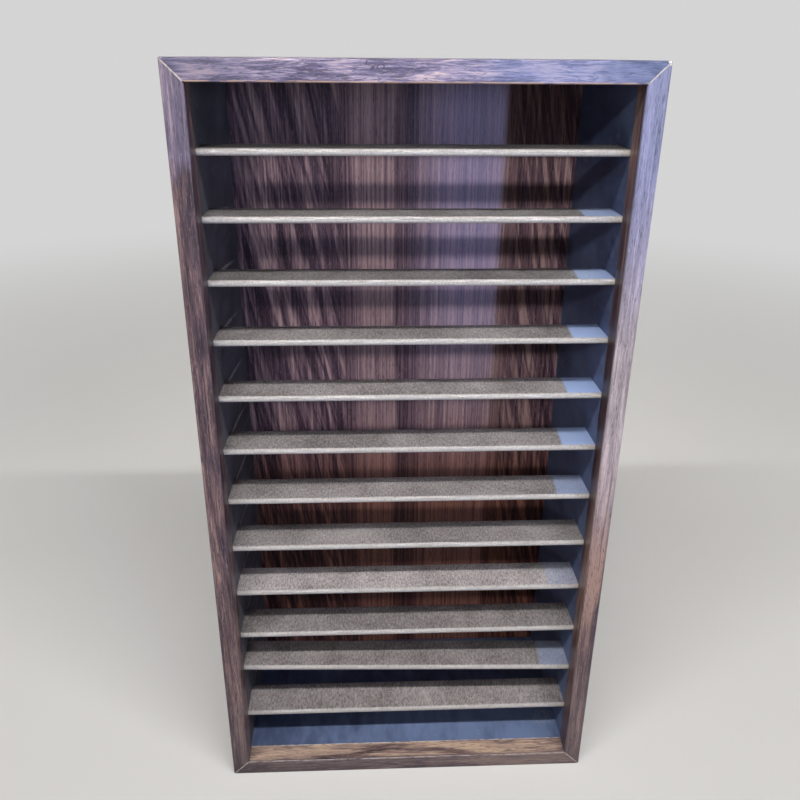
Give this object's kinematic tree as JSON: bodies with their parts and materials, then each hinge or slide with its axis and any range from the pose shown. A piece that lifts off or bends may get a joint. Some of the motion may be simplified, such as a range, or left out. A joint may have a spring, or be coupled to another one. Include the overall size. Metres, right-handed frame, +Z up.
{
  "type": "video tape rack",
  "caption": "Open-fronted rack for video tapes: a mitred, film-covered board case with twelve narrow rounded shelf strips let into its sides near the front.",
  "frame": {"origin": "centre of the base, under the middle of the case's width and depth", "axes": "+Z up, -Y out of the open front, +X to the right seen from the front"},
  "size_m": [0.2192, 0.1122, 0.4141],
  "materials": {
    "particle_board": "raw board, pale chips",
    "slate_lining": "dark slate film, smooth with a slight sheen",
    "wood_grain_film": "printed dark wood grain, satin",
    "wood_grain_facing": "printed dark wood grain on hardboard, satin",
    "raw_hardboard": "raw brown hardboard",
    "shelf_board": "grey-brown fibrous board with a pale rounded front edge",
    "staple_wire": "dull galvanised"
  },
  "bodies": {
    "root": {"left_side_board": "particle_board", "right_side_board": "particle_board", "top_board": "particle_board", "bottom_board": "particle_board", "left_side_lining": "slate_lining", "right_side_lining": "slate_lining", "top_lining": "slate_lining", "bottom_lining": "slate_lining", "left_side_film": "wood_grain_film", "right_side_film": "wood_grain_film", "top_film": "wood_grain_film", "bottom_film": "wood_grain_film", "back_facing": "wood_grain_facing", "back_panel": "raw_hardboard", "back_staples": "staple_wire", "shelf_01": "shelf_board", "shelf_02": "shelf_board", "shelf_03": "shelf_board", "shelf_04": "shelf_board", "shelf_05": "shelf_board", "shelf_06": "shelf_board", "shelf_07": "shelf_board", "shelf_08": "shelf_board", "shelf_09": "shelf_board", "shelf_10": "shelf_board", "shelf_11": "shelf_board", "shelf_12": "shelf_board"}
  },
  "joints": []
}
